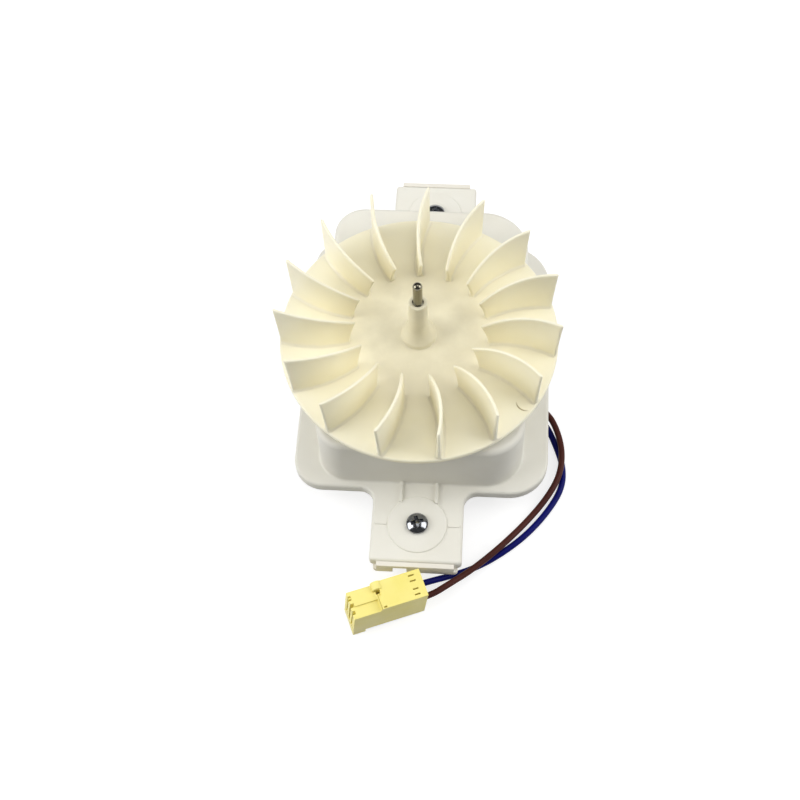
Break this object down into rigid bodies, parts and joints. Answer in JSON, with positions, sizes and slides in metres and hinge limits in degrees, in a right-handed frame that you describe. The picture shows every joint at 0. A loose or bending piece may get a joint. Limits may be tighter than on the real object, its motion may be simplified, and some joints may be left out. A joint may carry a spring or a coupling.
{
  "type": "refrigerator fan motor",
  "caption": "Shaded pole fan motor for a refrigerator: moulded housing with screw tabs, an ivory bladed impeller on an upright shaft, and leads to a plug.",
  "frame": {"origin": "on the shaft's axis at the underside of the housing", "axes": "+Z along the shaft away from the housing, +Y along the housing towards the tab far from the plug"},
  "size_m": [0.0972, 0.1705, 0.0699],
  "materials": {
    "ivory_plastic": "satin moulded, slightly translucent",
    "white_plastic": "satin moulded",
    "lower_plastic": "satin moulded",
    "bright_screws": "bright zinc plated",
    "shaft_steel": "ground and polished",
    "rotor_aluminium": "die cast",
    "core_steel": "stamped laminations",
    "bearing_bronze": "sintered, oily",
    "bracket_steel": "zinc plated sheet",
    "felt": "oiled felt",
    "washer_plastic": "plain",
    "copper": "enamelled or bare copper",
    "bobbin_plastic": "moulded",
    "tinned_brass": "tinned",
    "mount_rubber": "matt",
    "grommet_rubber": "matt",
    "brown_insulation": "smooth soft plastic",
    "blue_insulation": "smooth soft plastic",
    "plug_plastic": "moulded, slightly translucent"
  },
  "bodies": {
    "housing": {"blue_contact": "tinned_brass", "blue_terminal_pin": "tinned_brass", "brown_contact": "tinned_brass", "brown_terminal_pin": "tinned_brass", "cable_grommet": "grommet_rubber", "coil_bobbin": "bobbin_plastic", "coil_winding": "copper", "coil_yoke": "core_steel", "connector_housing": "plug_plastic", "far_cover_screw": "bright_screws", "front_bearing": "bearing_bronze", "front_bracket": "bracket_steel", "front_felt": "felt", "front_retainer": "bracket_steel", "front_shading_ring": "copper", "lead_blue": "blue_insulation", "lead_brown": "brown_insulation", "left_frame_nut": "bright_screws", "left_frame_screw": "bright_screws", "lower_cover": "lower_plastic", "lower_rubber_mount_1": "mount_rubber", "lower_rubber_mount_2": "mount_rubber", "lower_rubber_mount_3": "mount_rubber", "lower_rubber_mount_4": "mount_rubber", "near_cover_screw": "bright_screws", "rear_bearing": "bearing_bronze", "rear_bracket": "bracket_steel", "rear_felt": "felt", "rear_retainer": "bracket_steel", "rear_shading_ring": "copper", "right_frame_nut": "bright_screws", "right_frame_screw": "bright_screws", "stator_core": "core_steel", "upper_cover": "white_plastic", "upper_rubber_mount_1": "mount_rubber", "upper_rubber_mount_2": "mount_rubber", "upper_rubber_mount_3": "mount_rubber", "upper_rubber_mount_4": "mount_rubber", "wire_blue": "blue_insulation", "wire_brown": "brown_insulation"},
    "rotor": {"shaft": "shaft_steel", "rotor_core": "core_steel", "rotor_cage": "rotor_aluminium", "impeller": "ivory_plastic", "front_thrust_washer": "washer_plastic", "rear_thrust_washer": "washer_plastic", "front_spacer": "washer_plastic", "rear_spacer": "washer_plastic"}
  },
  "joints": [
    {"name": "impeller_spin", "type": "hinge", "parent": "housing", "child": "rotor", "pos_m": [0, 0, 0.04], "axis": [0, 0, 1], "continuous": true}
  ]
}
